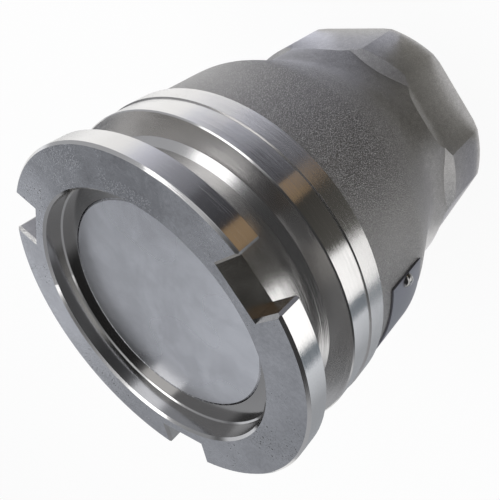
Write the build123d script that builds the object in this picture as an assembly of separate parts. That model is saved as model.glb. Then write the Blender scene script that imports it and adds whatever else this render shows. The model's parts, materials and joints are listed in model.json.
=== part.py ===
from build123d import *
import os
from math import asin, atan, cos, degrees, radians, sin, sqrt, tan

# Dry break coupling, the half that stays on the pipe. All sizes are in millimetres.
# The coupling stands on its pipe end: Z = 0 is the face of the threaded end, and the
# axis runs up to the mating face. Heights marked "below the mating face" count downwards.

# Whole body
body_length = 137.5

# Bayonet flange at the mating end
flange_radius = 59.5
flange_thickness = 8.3
flange_front_chamfer = 0.8
edge_chamfer = 0.4
notch_count = 3
notch_first_angle = 90.0
notch_width = 16.4
notch_floor_distance = 48.9
notch_edge_chamfer = 1.0

# Roller groove and the ring behind it
groove_radius = 48.65
ring_front_depth = 24.0
ring_width = 16.6
ring_front_radius = 58.6
ring_rear_radius = 59.0
ring_rear_band = 7.4
shoulder_radius = 50.6
shoulder_height = 2.5

# Cast barrel, the taper below it, and the neck, a hexagon with well rounded corners.
# The neck's length sets the taper's slope, here 19 degrees.
barrel_radius = 57.6
barrel_length = 29.5
taper_round = 24.0
taper_foot_radius = 47.0
neck_length = 12.1154
neck_across_flats = 96.4
neck_corner_round = 34.0
neck_fillet = 22.0

# Hexagon with turned corners
hex_across_flats = 95.8
hex_corner_radius = 50.75
hex_length = 24.5
hex_shoulder_height = 7.0
hex_runout_radius = 16.0
hex_chamfer_width = 1.2
hex_chamfer_height = 1.0
hex_first_angle = 30.0

# Recess for the mating half
recess_radius = 45.0
recess_depth = 7.2
recess_mouth_chamfer = 0.8
recess_floor_round = 0.5
recess_floor_fall = 0.65

# Seat and flow passage
lip_radius = 38.4
lip_land = 1.0
throat_radius = 43.6
throat_length = 8.0
chamber_radius = 51.0
chamber_length = 36.5

# Pipe thread, parallel three inch, bored to its minor radius
thread_minor_radius = 42.463
thread_length = 30.5
thread_entry_chamfer = 1.7

# Seat of the guide spider above the thread, and its retaining ring
circlip_thickness = 3.0
circlip_groove_radius = 44.25
circlip_groove_play = 0.1
circlip_inner_radius = 40.9
circlip_gap_half_angle = 11.0
circlip_ear_radius = 2.9
circlip_ear_hole_radius = 1.3
circlip_angle = 330.0
spider_bore_radius = 42.3
spider_rim_height = 6.8
ledge_radius = 40.6
ledge_height = 1.5

# Guide spider
spider_rim_width = 3.7
spider_arm_count = 3
spider_arm_width = 6.0
spider_first_arm_angle = 30.0
hub_radius = 11.5
hub_flange_radius = 16.0
hub_flange_thickness = 4.0
hub_length = 16.0
hub_above_ledge = 21.6
bush_radius = 8.0
bush_flange_radius = 10.5
bush_flange_thickness = 1.5

# Poppet
poppet_rim_land = 1.2
poppet_rim_round = 0.5
poppet_cone_width = 1.4
gland_radius = 37.6
gland_height = 3.8
seal_section_radius = 1.75
retainer_radius = 40.2
retainer_thickness = 2.5
lock_washer_thickness = 1.5
stem_radius = 6.0
stem_spigot_radius = 8.0
stem_spigot_depth = 3.6
stem_collar_radius = 13.8
stem_collar_thickness = 5.0
stem_tip_length = 1.5
stem_tip_chamfer = 1.0

# Nut and washer at the stem's end
stop_washer_radius = 12.0
stop_washer_thickness = 2.0
nut_across_flats = 19.0
nut_hex_height = 8.0
nut_crown_radius = 8.6
nut_crown_height = 2.9
nut_crown_wall = 1.0
nut_insert_height = 2.2

# Spring
spring_mean_radius = 17.0
spring_wire_radius = 2.25
spring_turns = 6.0
spring_seat_radius = 20.5
spring_seat_thickness = 2.0
spring_collar_height = 5.0
spring_collar_wall = 1.9

# Nameplate on the barrel
plate_thickness = 0.6
plate_height = 18.4
plate_below_ring = 16.7
plate_centre_angle = 150.0
plate_half_angle = 26.6
rivet_inset_angle = 2.4
rivet_shank_radius = 1.2
rivet_depth = 4.5
rivet_head_radius = 2.4
rivet_head_height = 1.5

# Clearances
poppet_clearance = 0.2
seal_clearance = 0.05
stem_clearance = 0.06
fit_clearance = 0.05
stop_clearance = 0.3
plate_clearance = 0.1

# Heights worked out from the sizes above
flange_rear = body_length - flange_thickness
ring_front = body_length - ring_front_depth
ring_rear = ring_front - ring_width
recess_floor = body_length - recess_depth
lip_top = recess_floor - recess_floor_fall
lip_bottom = lip_top - lip_land
seat_bottom = lip_bottom - (throat_radius - lip_radius)
flat_distance = hex_across_flats / 2
barrel_bottom = ring_rear - barrel_length
taper_foot = hex_length + neck_length
taper_slope = (barrel_radius - taper_foot_radius) / (barrel_bottom - taper_foot)
taper_tangent = taper_round * tan(atan(taper_slope) / 2)
neck_flat_distance = neck_across_flats / 2
neck_corner_radius = neck_corner_round + (neck_flat_distance - neck_corner_round) / cos(radians(30))
crease_low = taper_foot + (neck_flat_distance - taper_foot_radius) / taper_slope
crease_high = taper_foot + (neck_corner_radius - taper_foot_radius) / taper_slope
circlip_bottom = thread_length
circlip_top = circlip_bottom + circlip_thickness + circlip_groove_play
ledge_bottom = circlip_top + spider_rim_height
hub_top_height = ledge_bottom + hub_above_ledge
hub_bottom = hub_top_height - hub_length
poppet_face = lip_top
plate_centre_height = ring_rear - plate_below_ring
poppet_rim_radius = lip_radius - poppet_clearance
cone_top = poppet_face - poppet_rim_land
cone_bottom = cone_top - poppet_cone_width
gland_bottom = cone_bottom - gland_height
retainer_bottom = gland_bottom - retainer_thickness
collar_top = retainer_bottom - lock_washer_thickness
collar_bottom = collar_top - stem_collar_thickness
washer_top = hub_bottom - stop_clearance
washer_bottom = washer_top - stop_washer_thickness
nut_bottom = washer_bottom - nut_hex_height - nut_crown_height
stem_end = nut_bottom - stem_tip_length
spring_bottom = hub_top_height + spring_seat_thickness
spring_top = retainer_bottom


def turned(points):
    """Solid of revolution about Z from a closed outline of (radius, height) points."""
    outline = Polyline(*[(r, 0, z) for r, z in points], close=True)
    return revolve(make_face(outline), Axis.Z)


def turned_ring(inner, outer, bottom, top):
    """Plain ring about Z."""
    return turned([(inner, bottom), (outer, bottom), (outer, top), (inner, top)])


def around_z(shape, angle):
    """The same shape turned about Z."""
    return Rot(0, 0, angle) * shape


def pie_slice(half_angle, reach):
    """Flat triangle with its point on the axis, centred on the X axis."""
    side = reach * tan(radians(half_angle))
    return make_face(Polyline((0, 0), (reach, -side), (reach, side), close=True))


def body_blank():
    """Outside of the casting, turned about Z, before its flats and notches are cut."""
    turn = atan(taper_slope)
    round_start = (barrel_radius - taper_tangent * sin(turn), 0, barrel_bottom - taper_tangent * cos(turn))
    round_middle = (
        barrel_radius - taper_round * (1 - cos(turn / 2)),
        0,
        barrel_bottom + taper_tangent - taper_round * sin(turn / 2),
    )
    round_end = (barrel_radius, 0, barrel_bottom + taper_tangent)
    lower = Polyline(
        (0, 0, 0),
        (hex_corner_radius - hex_chamfer_width, 0, 0),
        (hex_corner_radius, 0, hex_chamfer_height),
        (hex_corner_radius, 0, hex_length),
        (taper_foot_radius, 0, hex_length + hex_shoulder_height),
        (taper_foot_radius, 0, taper_foot),
        round_start,
    )
    bend = ThreePointArc(round_start, round_middle, round_end)
    upper = Polyline(
        round_end,
        (barrel_radius, 0, ring_rear),
        (ring_rear_radius - edge_chamfer, 0, ring_rear),
        (ring_rear_radius, 0, ring_rear + edge_chamfer),
        (ring_rear_radius, 0, ring_rear + ring_rear_band),
        (ring_front_radius, 0, ring_rear + ring_rear_band),
        (ring_front_radius, 0, ring_front - edge_chamfer),
        (ring_front_radius - edge_chamfer, 0, ring_front),
        (shoulder_radius, 0, ring_front),
        (groove_radius, 0, ring_front + shoulder_height),
        (groove_radius, 0, flange_rear),
        (flange_radius - edge_chamfer, 0, flange_rear),
        (flange_radius, 0, flange_rear + edge_chamfer),
        (flange_radius, 0, body_length - flange_front_chamfer),
        (flange_radius - flange_front_chamfer, 0, body_length),
        (0, 0, body_length),
        (0, 0, 0),
    )
    return revolve(make_face(lower + bend + upper), Axis.Z)


def neck():
    """Rounded hexagon between the pipe end and the taper, which it runs up into."""
    outline = RegularPolygon(neck_flat_distance, 6, major_radius=False, rotation=hex_first_angle)
    outline = fillet(outline.vertices(), neck_corner_round)
    over = 1.0
    top = crease_high + over / taper_slope
    return Pos(0, 0, hex_length) * extrude(outline, amount=top - hex_length)


def flow_passage():
    """Inside of the casting, from the pipe thread to the recess."""
    throat_end = seat_bottom - throat_length
    chamber_front = throat_end - (chamber_radius - throat_radius)
    entry = thread_minor_radius + thread_entry_chamfer
    mouth = recess_radius + recess_mouth_chamfer
    over = 1.0
    return turned([
        (0, -over),
        (entry + over, -over),
        (thread_minor_radius, thread_entry_chamfer),
        (thread_minor_radius, circlip_bottom),
        (circlip_groove_radius, circlip_bottom),
        (circlip_groove_radius, circlip_top),
        (spider_bore_radius, circlip_top),
        (spider_bore_radius, ledge_bottom),
        (ledge_radius, ledge_bottom),
        (ledge_radius, ledge_bottom + ledge_height),
        (chamber_radius, chamber_front - chamber_length),
        (chamber_radius, chamber_front),
        (throat_radius, throat_end),
        (throat_radius, seat_bottom),
        (lip_radius, lip_bottom),
        (lip_radius, lip_top),
        (recess_radius - recess_floor_round, recess_floor),
        (recess_radius, recess_floor + recess_floor_round),
        (recess_radius, body_length - recess_mouth_chamfer),
        (mouth + over, body_length + over),
        (0, body_length + over),
    ])


def flat_cutter(distance, flat_end, runout_radius, reach):
    """Cuts a flat parallel to Z, from below up to flat_end, then runs out on a radius."""
    rise = sqrt(runout_radius ** 2 - (runout_radius - reach) ** 2)
    half_turn = degrees(asin(rise / runout_radius)) / 2
    middle_out = runout_radius * (1 - cos(radians(half_turn)))
    middle_up = runout_radius * sin(radians(half_turn))
    start = (distance, 0, flat_end)
    middle = (distance + middle_out, 0, flat_end + middle_up)
    end = (distance + reach, 0, flat_end + rise)
    runout = ThreePointArc(start, middle, end)
    rest = Polyline(end, (distance + reach, 0, -1), (distance, 0, -1), start)
    return extrude(make_face(runout + rest), amount=barrel_radius, both=True)


def notch_cutter():
    """Bayonet notch through the flange, with its long edges broken by a chamfer."""
    beyond = flange_radius + 10
    half = notch_width / 2
    corner = sqrt(flange_radius ** 2 - half ** 2)
    flare_start = corner - notch_edge_chamfer
    flare = half + beyond - flare_start
    outline = Polyline(
        (notch_floor_distance, -half),
        (flare_start, -half),
        (beyond, -flare),
        (beyond, flare),
        (flare_start, half),
        (notch_floor_distance, half),
        close=True,
    )
    height = flange_thickness + 2.0
    slot = Pos(0, 0, body_length - height + 1.0) * extrude(make_face(outline), amount=height)
    reach = notch_edge_chamfer + 1.0
    edge = Plane(origin=(notch_floor_distance, 0, body_length), x_dir=(0, 1, 0), z_dir=(1, 0, 0))
    mouth = Polyline(
        (-half, -notch_edge_chamfer),
        (-half - reach, 1.0),
        (half + reach, 1.0),
        (half, -notch_edge_chamfer),
        close=True,
    )
    return slot + extrude(edge * make_face(mouth), amount=beyond - notch_floor_distance)


def rivet_places():
    """Location of each nameplate rivet: Z points out of the barrel."""
    places = []
    for side in (-1, 1):
        angle = plate_centre_angle + side * (plate_half_angle - rivet_inset_angle)
        direction = (cos(radians(angle)), sin(radians(angle)), 0)
        foot = (barrel_radius * direction[0], barrel_radius * direction[1], plate_centre_height)
        places.append(Plane(origin=foot, z_dir=direction).location)
    return places


def rivet_hole():
    """Drilled hole for a drive rivet, deep enough for its shank."""
    radius = rivet_shank_radius + fit_clearance
    depth = rivet_depth + 0.5
    start = -depth
    return Pos(0, 0, start) * extrude(Circle(radius), amount=depth + plate_thickness + 2)


def body_casting():
    """Flange, groove, ring, barrel, neck and hexagon in one piece."""
    body = body_blank() + neck()
    margin = 0.5
    creases = body.edges().filter_by_position(Axis.Z, crease_low - margin, crease_high + margin)
    body = fillet(creases, neck_fillet) - flow_passage()
    flat = flat_cutter(flat_distance, hex_length, hex_runout_radius, hex_corner_radius - flat_distance + 1)
    for k in range(6):
        body -= around_z(flat, hex_first_angle + 60 * k)
    for k in range(notch_count):
        body -= around_z(notch_cutter(), notch_first_angle + 360 / notch_count * k)
    for place in rivet_places():
        body -= place * rivet_hole()
    return body


def poppet_head():
    """Disc that closes the recess, with a cone along the seat and a gland for the seal."""
    cone_radius = poppet_rim_radius + poppet_cone_width
    disc = turned([
        (0, gland_bottom),
        (gland_radius, gland_bottom),
        (gland_radius, cone_bottom),
        (cone_radius, cone_bottom),
        (poppet_rim_radius, cone_top),
        (poppet_rim_radius, poppet_face - poppet_rim_round),
        (poppet_rim_radius - poppet_rim_round, poppet_face),
        (0, poppet_face),
    ])
    tapped = Pos(0, 0, gland_bottom) * extrude(Circle(stem_spigot_radius), amount=stem_spigot_depth)
    return disc - tapped


def poppet_seal():
    """Seal ring in the gland, a hair off the seat cone."""
    centre_height = gland_bottom + gland_height / 2
    seat_radius_there = lip_radius + (lip_bottom - centre_height)
    centre_radius = seat_radius_there - (seal_section_radius + seal_clearance) * sqrt(2)
    centre_radius = max(centre_radius, gland_radius + seal_section_radius)
    section = Pos(centre_radius, 0, centre_height) * (Rot(90, 0, 0) * Circle(seal_section_radius))
    return revolve(section, Axis.Z)


def seal_retainer():
    """Plate that clamps the seal ring against the head."""
    return turned_ring(stem_spigot_radius + fit_clearance, retainer_radius, retainer_bottom, gland_bottom)


def retainer_lock_washer():
    """Washer between the retainer and the stem's collar."""
    return turned_ring(stem_spigot_radius + fit_clearance, stem_collar_radius, collar_top, retainer_bottom)


def poppet_stem():
    """Stem with a threaded spigot and a collar at the head, and a thread for the nut."""
    return turned([
        (0, stem_end),
        (stem_radius - stem_tip_chamfer, stem_end),
        (stem_radius, stem_end + stem_tip_chamfer),
        (stem_radius, collar_bottom),
        (stem_collar_radius, collar_bottom),
        (stem_collar_radius, collar_top),
        (stem_spigot_radius, collar_top),
        (stem_spigot_radius, gland_bottom + stem_spigot_depth - fit_clearance),
        (0, gland_bottom + stem_spigot_depth - fit_clearance),
    ])


def stop_washer():
    """Washer that stops the stem against the hub when the cartridge is out of the body."""
    return turned_ring(stem_radius + fit_clearance, stop_washer_radius, washer_bottom, washer_top)


def stem_nut():
    """Self-locking nut: hexagon with a round crown that holds the plastic insert."""
    hexagon = RegularPolygon(nut_across_flats / 2, 6, major_radius=False)
    prism = Pos(0, 0, washer_bottom - nut_hex_height) * extrude(hexagon, amount=nut_hex_height)
    crown = turned_ring(0, nut_crown_radius, nut_bottom, washer_bottom - nut_hex_height)
    pocket_radius = nut_crown_radius - nut_crown_wall
    pocket = turned_ring(0, pocket_radius, nut_bottom - 1, nut_bottom + nut_insert_height)
    bore = turned_ring(0, stem_radius + fit_clearance, nut_bottom - 1, washer_bottom + 1)
    return prism + crown - pocket - bore


def nut_insert():
    """Plastic ring that grips the stem's thread."""
    outer = nut_crown_radius - nut_crown_wall - fit_clearance
    return turned_ring(stem_radius + fit_clearance, outer, nut_bottom, nut_bottom + nut_insert_height)


def guide_spider():
    """Bearing cross: rim on the body's ledge, three arms and a hub for the bush."""
    rim_radius = spider_bore_radius - fit_clearance
    rim_inner = rim_radius - spider_rim_width
    rim_bottom = circlip_top
    spider = turned_ring(rim_inner, rim_radius, rim_bottom, ledge_bottom)
    hub = turned([
        (0, hub_bottom),
        (hub_radius, hub_bottom),
        (hub_radius, hub_top_height - hub_flange_thickness),
        (hub_flange_radius, hub_top_height - hub_flange_thickness),
        (hub_flange_radius, hub_top_height),
        (0, hub_top_height),
    ])
    arm_side = Polyline(
        (hub_radius - 2, 0, hub_bottom),
        (hub_radius - 2, 0, hub_top_height - hub_flange_thickness / 2),
        (rim_inner + spider_rim_width / 2, 0, ledge_bottom),
        (rim_inner + spider_rim_width / 2, 0, rim_bottom),
        (stop_washer_radius + stop_clearance, 0, hub_bottom),
        close=True,
    )
    arm = extrude(make_face(arm_side), amount=spider_arm_width / 2, both=True)
    for k in range(spider_arm_count):
        spider += around_z(arm, spider_first_arm_angle + 360 / spider_arm_count * k)
    spider += hub
    bore = turned_ring(0, bush_radius + fit_clearance, hub_bottom - 1, hub_top_height + 1)
    return spider - bore


def stem_bush():
    """Flanged bearing bush in the hub, with a running fit on the stem."""
    bore = stem_radius + stem_clearance
    return turned([
        (bore, hub_bottom),
        (bush_radius, hub_bottom),
        (bush_radius, hub_top_height),
        (bush_flange_radius, hub_top_height),
        (bush_flange_radius, hub_top_height + bush_flange_thickness),
        (bore, hub_top_height + bush_flange_thickness),
    ])


def spring_seat():
    """Cupped washer on the hub that centres the spring."""
    hole = bush_flange_radius + plate_clearance
    collar_outer = spring_mean_radius - spring_wire_radius - fit_clearance * 4
    collar_inner = collar_outer - spring_collar_wall
    return turned([
        (hole, hub_top_height),
        (spring_seat_radius, hub_top_height),
        (spring_seat_radius, spring_bottom),
        (collar_outer, spring_bottom),
        (collar_outer, spring_bottom + spring_collar_height),
        (collar_inner, spring_bottom + spring_collar_height),
        (collar_inner, spring_bottom),
        (hole, spring_bottom),
    ])


def valve_spring():
    """Round wire coil with both ends ground flat on their seats."""
    height = spring_top - spring_bottom
    pitch = height / spring_turns
    path = Pos(0, 0, spring_bottom) * Helix(pitch=pitch, height=height, radius=spring_mean_radius)
    section = Plane(origin=path @ 0, z_dir=path % 0) * Circle(spring_wire_radius)
    coil = sweep(section, path=path)
    keep = Pos(0, 0, spring_bottom) * extrude(Circle(spring_mean_radius * 2), amount=height)
    return coil & keep


def spider_circlip():
    """Internal retaining ring in its groove, with two eared ends."""
    outer = circlip_groove_radius - plate_clearance
    middle = (outer + circlip_inner_radius) / 2
    ring = Circle(outer) - Circle(circlip_inner_radius)
    ring -= pie_slice(circlip_gap_half_angle, circlip_groove_radius * 2)
    ear_distance = outer - circlip_ear_radius
    for side in (-1, 1):
        angle = side * (circlip_gap_half_angle + degrees(circlip_ear_radius / middle))
        ear = Rot(0, 0, angle) * (Pos(ear_distance, 0) * Circle(circlip_ear_radius))
        hole = Rot(0, 0, angle) * (Pos(ear_distance, 0) * Circle(circlip_ear_hole_radius))
        ring = ring + ear - hole
    solid = Pos(0, 0, circlip_bottom + circlip_groove_play / 2) * extrude(ring, amount=circlip_thickness)
    return around_z(solid, circlip_angle)


def nameplate():
    """Sheet plate bent round the barrel, with a hole for each rivet."""
    inner = barrel_radius + plate_clearance
    bottom = plate_centre_height - plate_height / 2
    outline = Polyline(
        (inner, 0, bottom),
        (inner + plate_thickness, 0, bottom),
        (inner + plate_thickness, 0, bottom + plate_height),
        (inner, 0, bottom + plate_height),
        close=True,
    )
    plate = revolve(make_face(outline), Axis.Z, revolution_arc=2 * plate_half_angle)
    plate = around_z(plate, plate_centre_angle - plate_half_angle)
    for place in rivet_places():
        plate -= place * rivet_hole()
    return plate


def nameplate_rivets():
    """Domed drive rivets at the two ends of the plate."""
    under_head = plate_clearance + plate_thickness + fit_clearance * 2
    top = under_head + rivet_head_height
    dome = (rivet_head_radius ** 2 + rivet_head_height ** 2) / (2 * rivet_head_height)
    half = asin(rivet_head_radius / dome) / 2
    arc = ThreePointArc(
        (rivet_head_radius, 0, under_head),
        (dome * sin(half), 0, top - dome * (1 - cos(half))),
        (0, 0, top),
    )
    rest = Polyline(
        (0, 0, top),
        (0, 0, -rivet_depth),
        (rivet_shank_radius, 0, -rivet_depth),
        (rivet_shank_radius, 0, under_head),
        (rivet_head_radius, 0, under_head),
    )
    rivet = revolve(make_face(arc + rest), Axis.Z)
    return Compound([place * rivet for place in rivet_places()])


PARTS = {
    "body_casting": body_casting,
    "poppet_head": poppet_head,
    "poppet_seal": poppet_seal,
    "seal_retainer": seal_retainer,
    "retainer_lock_washer": retainer_lock_washer,
    "poppet_stem": poppet_stem,
    "stop_washer": stop_washer,
    "stem_nut": stem_nut,
    "nut_insert": nut_insert,
    "guide_spider": guide_spider,
    "stem_bush": stem_bush,
    "spring_seat": spring_seat,
    "valve_spring": valve_spring,
    "spider_circlip": spider_circlip,
    "nameplate": nameplate,
    "nameplate_rivets": nameplate_rivets,
}

os.makedirs("parts", exist_ok=True)
for node, make in PARTS.items():
    export_step(make(), os.path.join("parts", node + ".step"))
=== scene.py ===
import json
from math import cos, pi, radians, sin

import bmesh
import bpy
from mathutils import Matrix, Vector


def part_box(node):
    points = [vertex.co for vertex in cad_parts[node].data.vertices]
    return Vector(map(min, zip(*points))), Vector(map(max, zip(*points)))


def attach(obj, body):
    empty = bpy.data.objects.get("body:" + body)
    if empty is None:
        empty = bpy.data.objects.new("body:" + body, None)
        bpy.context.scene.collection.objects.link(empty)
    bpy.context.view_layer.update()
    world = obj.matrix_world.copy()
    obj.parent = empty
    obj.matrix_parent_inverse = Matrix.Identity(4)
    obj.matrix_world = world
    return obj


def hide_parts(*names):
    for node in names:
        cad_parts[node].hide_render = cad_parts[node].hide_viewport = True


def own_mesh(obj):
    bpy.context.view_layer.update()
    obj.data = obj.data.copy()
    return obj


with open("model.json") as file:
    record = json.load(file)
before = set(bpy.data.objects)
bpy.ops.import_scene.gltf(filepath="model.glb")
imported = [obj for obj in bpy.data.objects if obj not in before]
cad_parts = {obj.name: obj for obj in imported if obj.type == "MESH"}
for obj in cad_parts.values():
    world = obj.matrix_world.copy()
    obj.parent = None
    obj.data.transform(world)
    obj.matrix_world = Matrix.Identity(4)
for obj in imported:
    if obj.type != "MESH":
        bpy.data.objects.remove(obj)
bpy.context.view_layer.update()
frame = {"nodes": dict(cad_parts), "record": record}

bl_info = {
    "name": "Dry break coupling",
    "version": (1, 0, 0),
    "blender": (4, 5, 0),
    "location": "3D View > Sidebar > Coupling",
    "description": "Finishes, pipe thread and studio for the fixed half of a dry break coupling",
    "category": "Object",
}

MM = 0.001
MERGE_DISTANCE = 0.0005 * MM
HAIR = 0.05 * MM
MATING_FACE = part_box("body_casting")[1][2]
MOUNTS = {mount["name"]: mount for mount in frame["record"]["mounts"]}
THREAD_MINOR = MOUNTS["pipe_thread"]["dims"]["r_mm"] * MM
THREAD_LENGTH = MOUNTS["pipe_thread"]["dims"]["length_mm"] * MM
RECESS_RADIUS = MOUNTS["mating_bore"]["dims"]["r_mm"] * MM
FLANGE_RADIUS = MOUNTS["bayonet_flange"]["dims"]["r_mm"] * MM


def size(name, description, default):
    """A length in metres that a user may change."""
    return bpy.props.FloatProperty(
        name=name, description=description, default=default, subtype="DISTANCE", unit="LENGTH", precision=5
    )


def colour(name, description, default):
    """A colour that a user may change."""
    return bpy.props.FloatVectorProperty(
        name=name, description=description, default=default, subtype="COLOR", size=3, min=0.0, max=1.0
    )


def amount(name, description, default):
    """A plain factor that a user may change."""
    return bpy.props.FloatProperty(name=name, description=description, default=default, min=0.0, precision=3)


def count(name, description, default, least):
    """A whole number that a user may change."""
    return bpy.props.IntProperty(name=name, description=description, default=default, min=least)


def scaled(shade, factor):
    """A darker or lighter tone of a colour."""
    return [min(1.0, channel * factor) for channel in shade]


class CouplingZones(bpy.types.PropertyGroup):
    """Where the differently finished zones of the casting begin and end, measured from the mating face."""
    flange_rear: size("Flange rear", "Depth of the flange's rear face", 8.3 * MM)
    ring_front: size("Ring front", "Depth of the second ring's front face", 24.0 * MM)
    band_step: size("Band step", "Depth of the step between the ring's two bands", 33.2 * MM)
    ring_rear: size("Ring rear", "Depth where the cast skin begins", 40.6 * MM)
    recess_depth: size("Recess depth", "Depth of the recess floor", 7.2 * MM)
    groove_floor: size("Groove floor", "Radius of the roller groove's floor", 48.65 * MM)
    smooth_below: size("Smooth below", "Height below which the casting skin is smooth", 40.0 * MM)
    grainy_above: size("Grainy above", "Height above which the casting skin is fully grainy", 60.0 * MM)


class CouplingThread(bpy.types.PropertyGroup):
    """The parallel pipe thread in the pipe end."""
    pitch: size("Pitch", "Distance from crest to crest, eleven threads to the inch", 2.309 * MM)
    depth: size("Depth", "Height of the thread from root to crest", 1.479 * MM)
    fade_turns: amount("Run-out", "Turns over which the thread's height fades at each end", 0.6)
    steps_per_turn: count("Steps", "Mesh steps in one turn", 96, 24)
    steps_across: count("Steps across", "Mesh steps across one crest", 12, 4)


class CouplingFinish(bpy.types.PropertyGroup):
    """Colours of the finishes."""
    bright_steel: colour("Bright steel", "Turned and polished stainless steel", (0.63, 0.62, 0.61))
    satin_steel: colour("Satin steel", "Faced stainless steel", (0.56, 0.57, 0.60))
    cast_steel: colour("Cast steel", "Shot-blasted casting skin", (0.47, 0.46, 0.455))
    plate_steel: colour("Plate steel", "Bare nameplate", (0.24, 0.24, 0.27))
    pit: colour("Pit", "Bottom of the small casting pits", (0.07, 0.07, 0.07))
    rubber: colour("Rubber", "Seal ring", (0.018, 0.018, 0.019))
    bush: colour("Bush", "White bearing plastic", (0.80, 0.78, 0.72))
    insert: colour("Nut insert", "Blue nylon", (0.04, 0.09, 0.30))


class CouplingStudio(bpy.types.PropertyGroup):
    """Camera, floor and light."""
    camera_place: bpy.props.FloatVectorProperty(
        name="Camera place", description="Where the camera stands", default=(-0.13309, -0.11284, 0.22155),
        subtype="TRANSLATION", precision=5,
    )
    camera_ahead: bpy.props.FloatVectorProperty(
        name="Camera ahead", description="Direction in which the camera looks",
        default=(0.60650, 0.49167, -0.62490), subtype="DIRECTION", precision=5,
    )
    camera_up: bpy.props.FloatVectorProperty(
        name="Camera up", description="Direction that is up in the picture",
        default=(0.18408, -0.85143, -0.49120), subtype="DIRECTION", precision=5,
    )
    lens: amount("Lens", "Focal length in millimetres on a 36 mm sensor", 44.89)
    lens_shift: bpy.props.FloatVectorProperty(
        name="Lens shift", description="Shift to the right and up, as shares of the picture", size=2,
        default=(0.0056, -0.0554), precision=4,
    )
    floor_size: size("Floor", "Radius of the pale floor", 3.0)
    floor_colour: colour("Floor colour", "Pale floor", (0.80, 0.80, 0.80))
    shadow_share: amount("Shadow", "How much of the floor's own shading the camera sees", 0.07)
    room_colour: colour("Room", "What the metal sees of the room", (0.50, 0.51, 0.535))
    dark_colour: colour("Dark side", "What the metal sees of the room's dark side", (0.03, 0.03, 0.03))
    dark_bearing: amount("Dark bearing", "Direction of the dark side of the room, in degrees", 188.0)
    sweep_bearing: amount("Sweep bearing", "Direction of the bright sweep on the horizon, in degrees", 162.0)
    sweep_strength: amount("Sweep strength", "Brightness of that sweep in the metal", 1.6)
    gap_bearing: amount("Gap bearing", "Direction of the dim gap between the lit walls, in degrees", 18.0)
    gap_share: amount("Gap", "Brightness of that gap as a share of the room's", 0.15)
    glint_share: amount("Glint", "Brightness below that gap as a share of the room's", 2.2)
    ceiling_colour: colour("Ceiling", "What the metal sees overhead", (0.78, 0.79, 0.81))


class Value:
    """A number in a node tree. Python's operators on it add Math nodes."""

    def __init__(self, tree, socket):
        self.tree = tree
        self.socket = socket

    def math(self, operation, *others):
        node = self.tree.nodes.new("ShaderNodeMath")
        node.operation = operation
        for index, item in enumerate((self, *others)):
            plug(self.tree, node.inputs[index], item)
        return Value(self.tree, node.outputs[0])

    def __add__(self, other):
        return self.math("ADD", other)

    def __sub__(self, other):
        return self.math("SUBTRACT", other)

    def __rsub__(self, other):
        return self.math("MULTIPLY", -1.0) + other

    def __mul__(self, other):
        return self.math("MULTIPLY", other)

    def __truediv__(self, other):
        return self.math("DIVIDE", other)

    def __rtruediv__(self, other):
        return self.math("POWER", -1.0) * other

    def __pow__(self, other):
        return self.math("POWER", other)

    __radd__ = __add__
    __rmul__ = __mul__

    def smooth(self, low, high):
        """0 below low and 1 above high, with a soft step between."""
        node = self.tree.nodes.new("ShaderNodeMapRange")
        node.interpolation_type = "SMOOTHSTEP"
        plug(self.tree, node.inputs["Value"], self)
        node.inputs["From Min"].default_value = low
        node.inputs["From Max"].default_value = high
        return Value(self.tree, node.outputs["Result"])


def plug(tree, socket, item):
    """Links a node's input, or gives it a plain value."""
    if isinstance(item, Value):
        item = item.socket
    if isinstance(item, bpy.types.NodeSocket):
        tree.links.new(item, socket)
    elif socket.type == "RGBA" and len(item) == 3:
        socket.default_value = (*item, 1.0)
    else:
        socket.default_value = item


class Tree:
    """A node tree in the making, with short ways to add what this object needs."""

    def __init__(self, tree):
        self.tree = tree

    def node(self, kind, settings=None, inputs=None, output=0):
        """Adds a node: its settings first, then the values or links of its sockets."""
        node = self.tree.nodes.new(kind)
        for name, value in (settings or {}).items():
            setattr(node, name, value)
        for name, item in (inputs or {}).items():
            plug(self.tree, node.inputs[name], item)
        return node.outputs[output]

    def value(self, socket):
        return Value(self.tree, socket)

    def place(self):
        """Object coordinates, in metres."""
        return self.node("ShaderNodeTexCoord", output="Object")

    def parts(self, vector):
        """The three numbers of a vector."""
        node = self.tree.nodes.new("ShaderNodeSeparateXYZ")
        plug(self.tree, node.inputs[0], vector)
        return [self.value(socket) for socket in node.outputs]

    def vector(self, x, y, z):
        return self.node("ShaderNodeCombineXYZ", inputs={0: x, 1: y, 2: z})

    def noise(self, scale, detail=2.0, rough=0.5, vector=None, distort=0.0):
        """Soft noise between 0 and 1."""
        inputs = {"Scale": scale, "Detail": detail, "Roughness": rough, "Distortion": distort}
        inputs["Vector"] = vector if vector is not None else self.place()
        return self.value(self.node("ShaderNodeTexNoise", inputs=inputs))

    def cells(self, scale):
        """Distance to the nearest of many scattered points."""
        inputs = {"Scale": scale, "Vector": self.place()}
        return self.value(self.node("ShaderNodeTexVoronoi", {"feature": "F1"}, inputs, "Distance"))

    def blend(self, mask, first, second):
        """Mixes two colours: the first where the mask is 0."""
        return self.node("ShaderNodeMix", {"data_type": "RGBA"}, {0: mask, 6: first, 7: second}, 2)

    def lathe(self, along, across):
        """Coordinates for turning marks: slow round the axis, quick across the tool's path."""
        x, y, z = self.parts(self.place())
        radius = (x * x + y * y) ** 0.5
        return self.vector(x * along, y * along, (radius + z * 1.37) * across)


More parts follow.
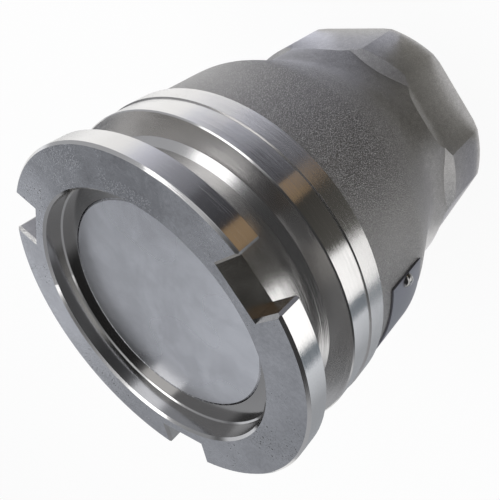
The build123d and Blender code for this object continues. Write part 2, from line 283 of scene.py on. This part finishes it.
class Finish(Tree):
    """A material for one finish."""

    def __init__(self, name, metal=1.0):
        self.material = bpy.data.materials.new(name)
        self.material.use_nodes = True
        super().__init__(self.material.node_tree)
        self.surface = self.tree.nodes["Principled BSDF"]
        self.set("Metallic", metal)

    def set(self, socket, item):
        plug(self.tree, self.surface.inputs[socket], item)

    def tones(self, mask, shade, low, high):
        """Base colour between two tones of one shade."""
        self.set("Base Color", self.blend(mask, scaled(shade, low), scaled(shade, high)))

    def bump(self, *layers):
        """Stacks bump layers of (height, strength, distance in metres)."""
        normal = None
        for height, strength, distance in layers:
            inputs = {"Height": height, "Strength": strength, "Distance": distance}
            if normal is not None:
                inputs["Normal"] = normal
            normal = self.node("ShaderNodeBump", inputs=inputs)
        self.set("Normal", normal)


def settings():
    return bpy.context.scene


def cast_finish():
    """Shot-blasted casting skin: sparkling grain on the barrel, smoother and mottled below it."""
    skin = settings().coupling_finish
    zones = settings().coupling_zones
    f = Finish("cast_stainless_skin")
    height = f.parts(f.place())[2]
    rough_zone = height.smooth(zones.smooth_below, zones.grainy_above)
    grain = 1.0 - f.cells(3400).smooth(0.0, 0.62)
    coarse = f.noise(2300, 2.0, 0.6)
    mottle = f.noise(420, 3.0, 0.6)
    stain = f.noise(38, 3.0, 0.55)
    speckle = (grain * 0.5 + coarse * 0.5).smooth(0.34, 0.66)
    soft = 0.5 + (mottle - 0.5) * 0.5 + (speckle - 0.5) * 0.55
    spread = speckle * rough_zone + soft * (1.0 - rough_zone)
    shade = f.blend(spread, scaled(skin.cast_steel, 0.50), scaled(skin.cast_steel, 1.60))
    f.set("Base Color", f.blend(stain.smooth(0.3, 0.75) * 0.35, shade, scaled(skin.cast_steel, 0.85)))
    f.set("Roughness", 0.33 + stain * 0.10 + (grain * 0.08 + 0.07) * rough_zone)
    fade = 0.25 + rough_zone * 0.75
    f.bump((coarse * fade, 0.8, 0.00022), (grain * fade, 1.0, 0.00016))
    return f.material


def turned_finish(name, shade, rough, groove, ripple):
    """Lathe-turned steel: fine grooves round the axis."""
    f = Finish(name)
    fine = f.noise(1.0, 2.0, 0.6, f.lathe(30, 9000))
    wide = f.noise(1.0, 2.0, 0.5, f.lathe(12, 1400))
    haze = f.noise(55, 3.0, 0.6)
    f.tones(haze.smooth(0.35, 0.7) * 0.25, shade, 1.0, 0.82)
    f.set("Roughness", rough + haze * 0.10 + (fine - 0.5) * 0.06)
    f.bump((fine, groove, 0.00004), (wide, ripple, 0.00006))
    return f.material


def faced_finish():
    """The mating face: faced steel, mottled, with small dark casting pits and a few fine scratches."""
    skin = settings().coupling_finish
    f = Finish("faced_stainless")
    fine = f.noise(1.0, 2.0, 0.6, f.lathe(40, 5200))
    cloud = f.noise(60, 4.0, 0.6)
    mottle = f.noise(900, 3.0, 0.65)
    where = f.noise(45, 3.0, 0.6).smooth(0.46, 0.66)
    spots = 1.0 - (f.cells(560) + f.noise(1400) * 0.2).smooth(0.22, 0.34)
    dots = 1.0 - f.cells(1700).smooth(0.14, 0.34)
    pits = (spots * where + dots * (where * 0.9 + 0.1)).math("MINIMUM", 1.0)
    stretched = f.node("ShaderNodeMapping", inputs={
        "Vector": f.place(), "Rotation": (0.0, 0.0, 0.7), "Scale": (60.0, 1500.0, 60.0),
    })
    scratch = 1.0 - f.noise(1.0, 2.0, 0.5, stretched).smooth(0.20, 0.28)
    tone = cloud.smooth(0.3, 0.7) * 0.6 + mottle.smooth(0.3, 0.7) * 0.4
    shade = f.blend(tone, scaled(skin.satin_steel, 0.60), scaled(skin.satin_steel, 0.86))
    worn = f.blend(pits * 0.85, shade, skin.pit)
    f.set("Base Color", f.blend(scratch * 0.5, worn, scaled(skin.satin_steel, 0.55)))
    f.set("Roughness", 0.20 + cloud * 0.07 + pits * 0.2)
    f.bump((fine, 0.3, 0.00005), (mottle, 0.08, 0.00004), (1.0 - pits, 0.5, 0.00008))
    return f.material


def disc_finish():
    """The poppet's face: pale satin with soft clouds and a faint lathe pattern."""
    skin = settings().coupling_finish
    f = Finish("poppet_face_stainless")
    fine = f.noise(1.0, 2.0, 0.6, f.lathe(60, 2600))
    cloud = f.noise(34, 4.0, 0.6, distort=0.6)
    stain = f.noise(150, 3.0, 0.6, distort=0.4)
    tone = cloud.smooth(0.34, 0.66) * 0.75 + stain.smooth(0.35, 0.65) * 0.25
    f.tones(tone, skin.satin_steel, 1.0, 1.28)
    f.set("Roughness", 0.24 + f.noise(20, 1.0, 0.4) * 0.08)
    f.bump((fine, 0.25, 0.00005))
    return f.material


def milled_finish():
    """Notch walls and floors: straight milling marks along the axis, a haze of random tone, and the steel
    darkened as painted shade of the notches.
    """
    skin = settings().coupling_finish
    f = Finish("milled_stainless")
    x, y, z = f.parts(f.place())
    marks = f.noise(1.0, 3.0, 0.6, f.vector(x * 1100, y * 1100, z * 120))
    haze = f.noise(130, 3.0, 0.6)
    # Painted shade: the tones run only from 0.38 to 0.78 of bright steel so that the notch interior looks
    # shaded; the haze just varies this at random.
    f.tones(haze, skin.bright_steel, 0.38, 0.78)
    f.set("Roughness", 0.14 + haze * 0.14)
    f.bump((marks, 0.35, 0.00008))
    return f.material


def wire_finish():
    """Drawn spring wire, semi-bright."""
    skin = settings().coupling_finish
    f = Finish("spring_wire")
    tarnish = f.noise(240, 3.0, 0.6)
    f.tones(tarnish, skin.bright_steel, 0.62, 0.92)
    f.set("Roughness", 0.22 + tarnish * 0.18)
    f.bump((f.noise(1500, 2.0, 0.5), 0.2, 0.00004))
    return f.material


def plate_finish():
    """Bare sheet nameplate with a faint rolling direction."""
    skin = settings().coupling_finish
    f = Finish("bare_plate")
    x, y, z = f.parts(f.place())
    rolled = f.noise(1.0, 3.0, 0.6, f.vector(x * 220, y * 220, z * 5200))
    cloud = f.noise(90, 3.0, 0.5)
    f.tones(cloud, skin.plate_steel, 0.9, 1.1)
    f.set("Roughness", 0.30 + cloud * 0.10 + (rolled - 0.5) * 0.08)
    f.bump((rolled, 0.25, 0.00003))
    return f.material


def rivet_finish():
    """Polished domed rivet with faint forming marks, its steel darkened as a painted dark reflection."""
    skin = settings().coupling_finish
    f = Finish("rivet_bright")
    dull = f.noise(420, 2.0, 0.5)
    # Painted reflection: tones of only 0.38 to 0.55 of bright steel stand for the dark surroundings that the
    # dome reflects; the dull noise just varies this.
    f.tones(dull, skin.bright_steel, 0.38, 0.55)
    f.set("Roughness", 0.05 + dull * 0.08)
    f.bump((dull, 0.15, 0.00004))
    return f.material


def soft_finish(name, shade, rough, grain):
    """Rubber or plastic with a fine grain."""
    f = Finish(name, metal=0.0)
    cloud = f.noise(150, 3.0, 0.55)
    f.tones(cloud, shade, 0.9, 1.08)
    f.set("Roughness", rough + cloud * 0.10)
    f.bump((f.noise(2200, 2.0, 0.5), grain, 0.00004))
    return f.material


BODY_FINISHES = ["cast", "faced", "turned", "satin", "recess", "milled", "bored", "groove"]
# How far a surface's finish reaches over its chamfer, and how far inside the groove's floor the bore is.
ENTRY_WIDTH = 1.2 * MM
MOUTH_WIDTH = 1.0 * MM
RIM_WIDTH = 0.9 * MM
WALL_INSIDE = 3.0 * MM
# Which way a face looks: how far away from the axis, and how far up.
TOWARD_AXIS = -0.05
HARDLY_OUTWARD = 0.2
MOSTLY_OUTWARD = 0.65
LEVEL = 0.99


def body_finishes():
    """One material for each zone of the casting, in the order of BODY_FINISHES."""
    bright = list(settings().coupling_finish.bright_steel)
    return [
        cast_finish(),
        faced_finish(),
        turned_finish("turned_stainless", bright, 0.07, 0.55, 0.35),
        turned_finish("satin_turned_stainless", bright, 0.16, 0.8, 0.4),
        # Painted shade: the recess wall's steel is darkened to 0.66 of bright steel so that the recess looks
        # shaded.
        turned_finish("recess_stainless", scaled(bright, 0.66), 0.08, 0.0, 0.04),
        milled_finish(),
        turned_finish("bored_stainless", scaled(bright, 0.85), 0.28, 0.6, 0.4),
        turned_finish("groove_stainless", scaled(bright, 0.95), 0.16, 0.7, 0.4),
    ]


def body_zone(centre, normal):
    """Name of the finish of a face of the casting, from where it lies and which way it looks."""
    zones = settings().coupling_zones
    depth = MATING_FACE - centre.z
    radius = Vector((centre.x, centre.y)).length
    outward = (normal.x * centre.x + normal.y * centre.y) / max(radius, MERGE_DISTANCE)
    if depth > zones.ring_rear - HAIR:
        inside = outward < TOWARD_AXIS or radius < THREAD_MINOR + ENTRY_WIDTH
        return "bored" if inside else "cast"
    if radius < RECESS_RADIUS + HAIR and outward < HARDLY_OUTWARD:
        return "recess" if depth < zones.recess_depth + MOUTH_WIDTH else "bored"
    if radius < zones.groove_floor - WALL_INSIDE and depth > zones.recess_depth:
        return "bored"
    if normal.z > LEVEL and depth < HAIR:
        return "faced"
    if depth < zones.flange_rear - HAIR:
        if radius > FLANGE_RADIUS - RIM_WIDTH and outward > MOSTLY_OUTWARD:
            return "turned"
        return "recess" if radius < RECESS_RADIUS + MOUTH_WIDTH else "milled"
    if depth < zones.ring_front + HAIR:
        return "groove"
    return "turned" if depth < zones.band_step else "satin"


def keep_corner_normals(mesh):
    """Stores the exact normals of a mesh's corners, so that they outlast a merge."""
    kept = mesh.attributes.new("kept_normal", "FLOAT_VECTOR", "CORNER")
    numbers = [0.0] * (3 * len(mesh.loops))
    mesh.corner_normals.foreach_get("vector", numbers)
    kept.data.foreach_set("vector", numbers)


def restore_corner_normals(mesh):
    """Gives the mesh the normals that were kept, and drops the store."""
    kept = mesh.attributes["kept_normal"]
    numbers = [0.0] * (3 * len(mesh.loops))
    kept.data.foreach_get("vector", numbers)
    mesh.attributes.remove(kept)
    mesh.normals_split_custom_set([numbers[i:i + 3] for i in range(0, len(numbers), 3)])


def new_piece(name, mesh, body, slot, *materials):
    """Puts a finished mesh in the scene and says what it rides on."""
    piece = bpy.data.objects.new(name, mesh)
    bpy.context.scene.collection.objects.link(piece)
    for material in materials:
        mesh.materials.append(material)
    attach(piece, body)
    return piece


def copy_of_solid(node, name, dress):
    """A copy of a solid's mesh: doubled points merged, changed by dress, the solid's own normals kept."""
    mesh = frame["nodes"][node].data.copy()
    mesh.name = name
    mesh.materials.clear()
    keep_corner_normals(mesh)
    bm = bmesh.new()
    bm.from_mesh(mesh)
    bmesh.ops.remove_doubles(bm, verts=bm.verts, dist=MERGE_DISTANCE)
    bm.normal_update()
    for face in bm.faces:
        face.smooth = True
        face.material_index = 0
    dress(bm)
    bm.to_mesh(mesh)
    bm.free()
    restore_corner_normals(mesh)
    return mesh


THREAD_START = 0.9 * MM
THREAD_OVERRUN = 1.2 * MM
BORE_OVERRUN = 2.0 * MM
RIDGE_IN_WALL = 0.02 * MM
LOWEST_CHAMFER = 0.1 * MM
GRID_MERGE = 0.002 * MM


def bore_for_thread(bm):
    """Opens the pipe end's bore from the thread's minor to its major radius, where the ridge will stand."""
    thread = settings().coupling_thread
    major = THREAD_MINOR + thread.depth
    for vert in bm.verts:
        radius = Vector((vert.co.x, vert.co.y)).length
        if abs(radius - THREAD_MINOR) < RIDGE_IN_WALL and vert.co.z < THREAD_LENGTH + BORE_OVERRUN:
            vert.co.x *= major / radius
            vert.co.y *= major / radius
            if vert.co.z < THREAD_LENGTH / 2:
                vert.co.z = max(LOWEST_CHAMFER, vert.co.z - thread.depth)


class COUPLING_OT_casting(bpy.types.Operator):
    """Dresses the casting: its solid with a finish for each zone and the bore opened for the thread"""
    bl_idname = "coupling.casting"
    bl_label = "Casting"

    def execute(self, context):
        mesh = copy_of_solid("body_casting", "coupling_casting", self.dress)
        piece = new_piece("coupling_casting", mesh, "housing", "cast_stainless", *body_finishes())
        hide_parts("body_casting")
        return {"FINISHED"}

    def dress(self, bm):
        for face in bm.faces:
            face.material_index = BODY_FINISHES.index(body_zone(face.calc_center_median(), face.normal))
        bore_for_thread(bm)


class COUPLING_OT_spring(bpy.types.Operator):
    """Puts a copy of the spring round the stem, with a spring wire finish"""
    bl_idname = "coupling.spring"
    bl_label = "Spring"

    def execute(self, context):
        mesh = copy_of_solid("valve_spring", "valve_spring_coil", lambda bm: None)
        piece = new_piece("valve_spring_coil", mesh, "housing", "spring_steel", wire_finish())
        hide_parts("valve_spring")
        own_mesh(piece)
        return {"FINISHED"}


def thread_tree():
    """Geometry nodes for the thread's surface: a grid of turns by crest steps, bent round the axis."""
    tree = bpy.data.node_groups.new("pipe_thread", "GeometryNodeTree")
    face = tree.interface
    lengths = ("Turns", "Pitch", "Depth", "Root Radius", "Start", "Fade Turns")
    for name in lengths:
        face.new_socket(name, in_out="INPUT", socket_type="NodeSocketFloat")
    for name in ("Steps Along", "Steps Across"):
        face.new_socket(name, in_out="INPUT", socket_type="NodeSocketInt")
    face.new_socket("Finish", in_out="INPUT", socket_type="NodeSocketMaterial")
    face.new_socket("Thread", in_out="OUTPUT", socket_type="NodeSocketGeometry")
    t = Tree(tree)
    given = {socket.name: socket for socket in tree.nodes.new("NodeGroupInput").outputs}
    turns, pitch, depth, root, start, fade = (t.value(given[name]) for name in lengths)
    grid = t.node("GeometryNodeMeshGrid", inputs={
        "Size X": turns,
        "Size Y": 1.0,
        "Vertices X": given["Steps Along"],
        "Vertices Y": given["Steps Across"],
    })
    x, y, _ = t.parts(t.node("GeometryNodeInputPosition"))
    turn = x + turns * 0.5
    across = y + 0.5
    crest = (0.5 - (across * (2 * pi)).math("COSINE") * 0.5) ** 0.85
    from_ends = (turn / fade).math("MINIMUM", (turns - turn) / fade).math("MINIMUM", 1.0)
    radius = root - crest * depth * from_ends
    angle = turn * (2 * pi)
    height = start + (turn + across) * pitch
    place = t.vector(radius * angle.math("COSINE"), radius * angle.math("SINE"), height)
    bent = t.node("GeometryNodeSetPosition", inputs={"Geometry": grid, "Position": place})
    joined = t.node("GeometryNodeMergeByDistance", inputs={"Geometry": bent, "Distance": GRID_MERGE})
    smooth = t.node("GeometryNodeSetShadeSmooth", inputs={0: joined})
    real = t.node("GeometryNodeRealizeInstances", inputs={0: smooth})
    dressed = t.node("GeometryNodeSetMaterial", inputs={"Geometry": real, "Material": given["Finish"]})
    plug(tree, tree.nodes.new("NodeGroupOutput").inputs[0], dressed)
    return tree


def mesh_from_tree(name, tree, values):
    """Runs a geometry node tree with named values and returns its plain mesh."""
    carrier = bpy.data.objects.new(name, bpy.data.meshes.new(name))
    bpy.context.scene.collection.objects.link(carrier)
    modifier = carrier.modifiers.new(name, "NODES")
    modifier.node_group = tree
    for socket in tree.interface.items_tree:
        if socket.in_out == "INPUT" and socket.name in values:
            modifier[socket.identifier] = values[socket.name]
    evaluated = carrier.evaluated_get(bpy.context.evaluated_depsgraph_get())
    mesh = bpy.data.meshes.new_from_object(evaluated)
    carrier.modifiers.remove(modifier)
    bpy.data.objects.remove(carrier)
    mesh.name = name
    return mesh


class COUPLING_OT_thread(bpy.types.Operator):
    """Cuts the parallel pipe thread into the pipe end"""
    bl_idname = "coupling.thread"
    bl_label = "Pipe thread"

    def execute(self, context):
        thread = context.scene.coupling_thread
        shade = scaled(context.scene.coupling_finish.bright_steel, 0.8)
        turns = (THREAD_LENGTH + THREAD_OVERRUN - THREAD_START) / thread.pitch - 1
        mesh = mesh_from_tree("pipe_thread", thread_tree(), {
            "Turns": turns,
            "Pitch": thread.pitch,
            "Depth": thread.depth,
            "Root Radius": THREAD_MINOR + thread.depth - RIDGE_IN_WALL,
            "Start": THREAD_START,
            "Fade Turns": thread.fade_turns,
            "Steps Along": int(turns * thread.steps_per_turn),
            "Steps Across": thread.steps_across + 1,
            "Finish": turned_finish("thread_stainless", shade, 0.24, 0.4, 0.2),
        })
        outward = sum(face.normal.x * face.center.x + face.normal.y * face.center.y for face in mesh.polygons)
        if outward > 0:
            mesh.flip_normals()
        new_piece("pipe_thread", mesh, "housing", "cast_stainless")
        return {"FINISHED"}


class COUPLING_OT_inner_finishes(bpy.types.Operator):
    """Gives the poppet, guide, nameplate and small parts their finishes"""
    bl_idname = "coupling.inner_finishes"
    bl_label = "Finishes of the other pieces"

    def execute(self, context):
        skin = context.scene.coupling_finish
        machined = turned_finish("machined_stainless_parts", list(skin.bright_steel), 0.20, 0.5, 0.3)
        fastener = turned_finish("fastener_stainless_parts", scaled(skin.bright_steel, 0.92), 0.24, 0.3, 0.2)
        finishes = {
            "poppet_head": disc_finish(),
            "poppet_seal": soft_finish("seal_rubber_skin", list(skin.rubber), 0.42, 0.3),
            "seal_retainer": machined,
            "retainer_lock_washer": fastener,
            "poppet_stem": machined,
            "stop_washer": fastener,
            "stem_nut": fastener,
            "nut_insert": soft_finish("blue_nylon", list(skin.insert), 0.40, 0.15),
            "guide_spider": cast_finish(),
            "stem_bush": soft_finish("white_bush", list(skin.bush), 0.38, 0.10),
            "spring_seat": machined,
            "spider_circlip": wire_finish(),
            "nameplate": plate_finish(),
            "nameplate_rivets": rivet_finish(),
        }
        for node, finish in finishes.items():
            for slot in frame["nodes"][node].material_slots:
                slot.material = finish
        return {"FINISHED"}


SECTOR_STEP = 3


def flat_sector(name, inner, outer, start, end, height, tones=(1.0, 1.0)):
    """Ring sector that lies flat: radii in metres, angles in degrees, a tone at its first and last angle."""
    mesh = bpy.data.meshes.new(name)
    bm = bmesh.new()
    tone = bm.verts.layers.float.new("tone")
    steps = max(2, int(abs(end - start) / SECTOR_STEP))
    rows = []
    for step in range(steps + 1):
        share = step / steps
        angle = radians(start + (end - start) * share)
        row = [bm.verts.new((r * cos(angle), r * sin(angle), height)) for r in (inner, outer)]
        for vert in row:
            vert[tone] = tones[0] + (tones[1] - tones[0]) * share
        rows.append(row)
    for a, b in zip(rows, rows[1:]):
        bm.faces.new((a[0], a[1], b[1], b[0]))
    bm.to_mesh(mesh)
    bm.free()
    return mesh


def glow(name, shade):
    """Plain material for a studio card, as strong as its tone."""
    material = bpy.data.materials.new(name)
    material.use_nodes = True
    t = Tree(material.node_tree)
    t.tree.nodes.remove(t.tree.nodes["Principled BSDF"])
    tone = t.node("ShaderNodeAttribute", {"attribute_name": "tone"}, output="Fac")
    light = t.node("ShaderNodeEmission", inputs={"Color": shade, "Strength": tone})
    plug(t.tree, t.tree.nodes["Material Output"].inputs["Surface"], light)
    return material


CARD_HEIGHT = 1.0 * MM
FLOOR_HEIGHT = -0.2 * MM
FLOOR_ROUGHNESS = 0.9
# Inner and outer radius of each ring of cards, in metres.
RINGS = {
    "near": (0.052, 0.062),
    "middle": (0.062, 0.098),
    "band": (0.098, 0.157),
    "far": (0.157, 0.55),
}
COOL, PLAIN, LILAC, WOOD = (0.95, 0.99, 1.05), (1.0, 1.0, 1.0), (0.94, 0.96, 1.08), (1.0, 0.70, 0.42)
OLIVE, TEAL = (1.0, 0.97, 0.88), (0.85, 0.97, 1.10)
CARDS = [
    # name, ring, first and last bearing in degrees, colour, strength at the first and the last bearing
    ("grey_card_right", "far", 60, 122, COOL, 0.33, 0.46),
    ("pale_card_right", "far", 122, 146, COOL, 0.50, 1.0),
    ("slim_dark_card", "far", 146, 157, TEAL, 0.26, 0.26),
    ("bright_card", "far", 157, 184, PLAIN, 1.7, 1.7),
    ("dark_card_near", "far", 186, 218, OLIVE, 0.10, 0.04),
    ("wood_card", "far", 218, 230, WOOD, 0.34, 0.34),
    ("dark_card_far", "far", 230, 253, LILAC, 0.05, 0.12),
    ("grey_card_left", "far", 253, 275, LILAC, 0.22, 0.45),
    ("pale_card_left", "far", 275, 296, LILAC, 0.50, 1.0),
    ("white_card_left", "far", 296, 334, PLAIN, 1.2, 1.25),
    ("pale_card_front", "far", 334, 360, PLAIN, 1.1, 0.75),
    ("band_card_right", "band", 60, 146, COOL, 0.30, 0.55),
    ("band_card_slim", "band", 146, 157, TEAL, 0.24, 0.24),
    ("band_card_bright", "band", 157, 183, PLAIN, 0.9, 0.9),
    ("band_card_dark", "band", 184, 222, OLIVE, 0.12, 0.08),
    ("band_card_grey", "band", 222, 250, LILAC, 0.12, 0.45),
    ("band_card_pale", "band", 250, 275, LILAC, 0.45, 1.15),
    ("band_card_left", "band", 275, 334, PLAIN, 1.25, 1.25),
    ("band_card_front", "band", 334, 360, PLAIN, 1.1, 0.75),
    ("neck_card_right", "middle", 60, 142, PLAIN, 1.7, 1.5),
    ("neck_card_near", "middle", 142, 192, PLAIN, 0.70, 0.42),
    ("neck_card_dark", "middle", 192, 250, OLIVE, 0.16, 0.16),
    ("neck_card_left", "middle", 250, 292, LILAC, 0.24, 0.42),
    ("neck_card_pale", "middle", 292, 360, LILAC, 0.44, 0.36),
    ("hexagon_card_right", "near", 60, 112, PLAIN, 1.5, 1.3),
    ("hexagon_card_near", "near", 112, 186, LILAC, 0.70, 0.36),
    ("hexagon_card_dark", "near", 186, 246, OLIVE, 0.25, 0.35),
    ("hexagon_card_left", "near", 246, 280, LILAC, 0.80, 0.85),
    ("hexagon_card_pale", "near", 280, 360, LILAC, 1.5, 1.4),
]


SENSOR_WIDTH = 36.0
NEAREST_SEEN = 0.01
LAMPS = [
    # name, bearing and height in degrees, distance and side in metres, watts
    ("left_lamp", 322, 70, 1.2, 0.7, 5.0),
    ("window_lamp", 272, 32, 1.0, 0.50, 1.3),
    ("right_lamp", 110, 68, 1.2, 0.5, 2.0),
]

# Where the room's masks begin and end: along a bearing as a cosine, and upward as a sine.
DARK_SIDE, DARK_SHARE = (0.24, 0.52), 0.95
CEILING = (0.60, 0.95)
SWEEP, SWEEP_TOP = (0.50, 0.85), (0.14, 0.28)
GAP, GAP_FOOT, GAP_TOP = (0.75, 0.86), (0.38, 0.47), (0.60, 0.72)
GLINT, GLINT_TOP = (0.86, 0.91), (0.36, 0.44)


def toward(x, y, bearing):
    """Cosine of a direction to a bearing in degrees."""
    turn = radians(bearing)
    return x * cos(turn) + y * sin(turn)


class COUPLING_OT_studio(bpy.types.Operator):
    """Sets up the floor, the studio cards, the light and the camera"""
    bl_idname = "coupling.studio"
    bl_label = "Studio"

    def execute(self, context):
        studio = context.scene.coupling_studio
        self.floor(context, studio)
        self.cards(context)
        self.lamps(context)
        self.room(context, studio)
        self.camera(context, studio)
        context.scene.view_settings.view_transform = "Standard"
        return {"FINISHED"}

    def floor(self, context, studio):
        material = bpy.data.materials.new("pale_floor")
        material.use_nodes = True
        t = Tree(material.node_tree)
        matt = t.tree.nodes["Principled BSDF"]
        plug(t.tree, matt.inputs["Base Color"], list(studio.floor_colour))
        plug(t.tree, matt.inputs["Roughness"], FLOOR_ROUGHNESS)
        path = t.tree.nodes.new("ShaderNodeLightPath")
        camera = t.value(path.outputs["Is Camera Ray"])
        glossy = t.value(path.outputs["Is Glossy Ray"]).math("MAXIMUM", path.outputs["Is Transmission Ray"])
        white = t.node("ShaderNodeEmission", inputs={"Color": (1.0, 1.0, 1.0), "Strength": 1.0})
        share = camera * (1.0 - studio.shadow_share) + glossy
        mixed = t.node("ShaderNodeMixShader", inputs={0: share, 1: matt.outputs[0], 2: white})
        plug(t.tree, t.tree.nodes["Material Output"].inputs["Surface"], mixed)
        mesh = flat_sector("floor", 0.0, studio.floor_size, 0, 360, FLOOR_HEIGHT)
        mesh.materials.append(material)
        floor = bpy.data.objects.new("floor", mesh)
        context.scene.collection.objects.link(floor)

    def cards(self, context):
        """Cards that lie round the object and show only in its metal."""
        for name, ring, start, end, shade, *tones in CARDS:
            mesh = flat_sector(name, *RINGS[ring], start, end, CARD_HEIGHT, tones)
            mesh.materials.append(glow(name, shade))
            card = bpy.data.objects.new(name, mesh)
            context.scene.collection.objects.link(card)
            for ray in ("camera", "diffuse", "transmission", "volume_scatter", "shadow"):
                setattr(card, "visible_" + ray, False)

    def lamps(self, context):
        """Soft square lamps that look at the middle of the object."""
        middle = Vector((0, 0, MATING_FACE / 2))
        for name, bearing, height, distance, side, watts in LAMPS:
            lamp = bpy.data.lights.new(name, "AREA")
            lamp.energy = watts
            lamp.size = side
            away = Vector((
                cos(radians(height)) * cos(radians(bearing)),
                cos(radians(height)) * sin(radians(bearing)),
                sin(radians(height)),
            ))
            holder = bpy.data.objects.new(name, lamp)
            holder.location = middle + away * distance
            holder.rotation_euler = away.to_track_quat("Z", "Y").to_euler()
            context.scene.collection.objects.link(holder)

    def room(self, context, studio):
        """White for the camera, a dim room with a dark side for everything else."""
        world = bpy.data.worlds.new("room")
        context.scene.world = world
        world.use_nodes = True
        t = Tree(world.node_tree)
        x, y, z = t.parts(t.node("ShaderNodeTexCoord", output="Generated"))
        lit = t.blend(z.smooth(*CEILING), list(studio.room_colour), list(studio.ceiling_colour))
        dark = toward(x, y, studio.dark_bearing).smooth(*DARK_SIDE) * DARK_SHARE
        seen = t.blend(dark, lit, list(studio.dark_colour))
        sweep = toward(x, y, studio.sweep_bearing).smooth(*SWEEP) * (1.0 - z.smooth(*SWEEP_TOP))
        seen = t.blend(sweep, seen, [studio.sweep_strength] * 3)
        toward_gap = toward(x, y, studio.gap_bearing)
        gap = toward_gap.smooth(*GAP) * z.smooth(*GAP_FOOT) * (1.0 - z.smooth(*GAP_TOP))
        seen = t.blend(gap, seen, [channel * studio.gap_share for channel in studio.room_colour])
        glint = toward_gap.smooth(*GLINT) * (1.0 - z.smooth(*GLINT_TOP))
        seen = t.blend(glint, seen, [channel * studio.glint_share for channel in studio.room_colour])
        camera = t.tree.nodes.new("ShaderNodeLightPath").outputs["Is Camera Ray"]
        seen = t.blend(t.value(camera), seen, (1.0, 1.0, 1.0))
        plug(t.tree, t.tree.nodes["Background"].inputs["Color"], seen)
        plug(t.tree, t.tree.nodes["Background"].inputs["Strength"], 1.0)

    def camera(self, context, studio):
        lens = bpy.data.cameras.new("camera")
        lens.sensor_fit = "HORIZONTAL"
        lens.sensor_width = SENSOR_WIDTH
        lens.lens = studio.lens
        lens.shift_x, lens.shift_y = studio.lens_shift
        lens.clip_start = NEAREST_SEEN
        holder = bpy.data.objects.new("camera", lens)
        context.scene.collection.objects.link(holder)
        ahead = Vector(studio.camera_ahead).normalized()
        right = ahead.cross(Vector(studio.camera_up)).normalized()
        up = right.cross(ahead)
        turn = Matrix((right, up, -ahead)).transposed().to_4x4()
        holder.matrix_world = Matrix.Translation(studio.camera_place) @ turn
        context.scene.camera = holder


class COUPLING_PT_panel(bpy.types.Panel):
    """Buttons for the steps that dress the coupling"""
    bl_idname = "COUPLING_PT_panel"
    bl_label = "Dry break coupling"
    bl_space_type = "VIEW_3D"
    bl_region_type = "UI"
    bl_category = "Coupling"

    def draw(self, context):
        for operator in OPERATORS:
            self.layout.operator(operator.bl_idname)
        for group in GROUPS:
            holder = getattr(context.scene, group)
            box = self.layout.box()
            for prop in holder.bl_rna.properties:
                if prop.identifier not in {"rna_type", "name"}:
                    box.prop(holder, prop.identifier)


GROUPS = {
    "coupling_zones": CouplingZones,
    "coupling_thread": CouplingThread,
    "coupling_finish": CouplingFinish,
    "coupling_studio": CouplingStudio,
}
OPERATORS = [
    COUPLING_OT_casting,
    COUPLING_OT_thread,
    COUPLING_OT_spring,
    COUPLING_OT_inner_finishes,
    COUPLING_OT_studio,
]
CLASSES = [*GROUPS.values(), *OPERATORS, COUPLING_PT_panel]


def register():
    for kind in CLASSES:
        bpy.utils.register_class(kind)
    for name, group in GROUPS.items():
        setattr(bpy.types.Scene, name, bpy.props.PointerProperty(type=group))


def unregister():
    for name in GROUPS:
        delattr(bpy.types.Scene, name)
    for kind in reversed(CLASSES):
        bpy.utils.unregister_class(kind)


def main():
    """Builds the whole scene."""
    register()
    bpy.ops.coupling.casting()
    bpy.ops.coupling.thread()
    bpy.ops.coupling.spring()
    bpy.ops.coupling.inner_finishes()
    bpy.ops.coupling.studio()


if __name__ == "__main__":
    main()
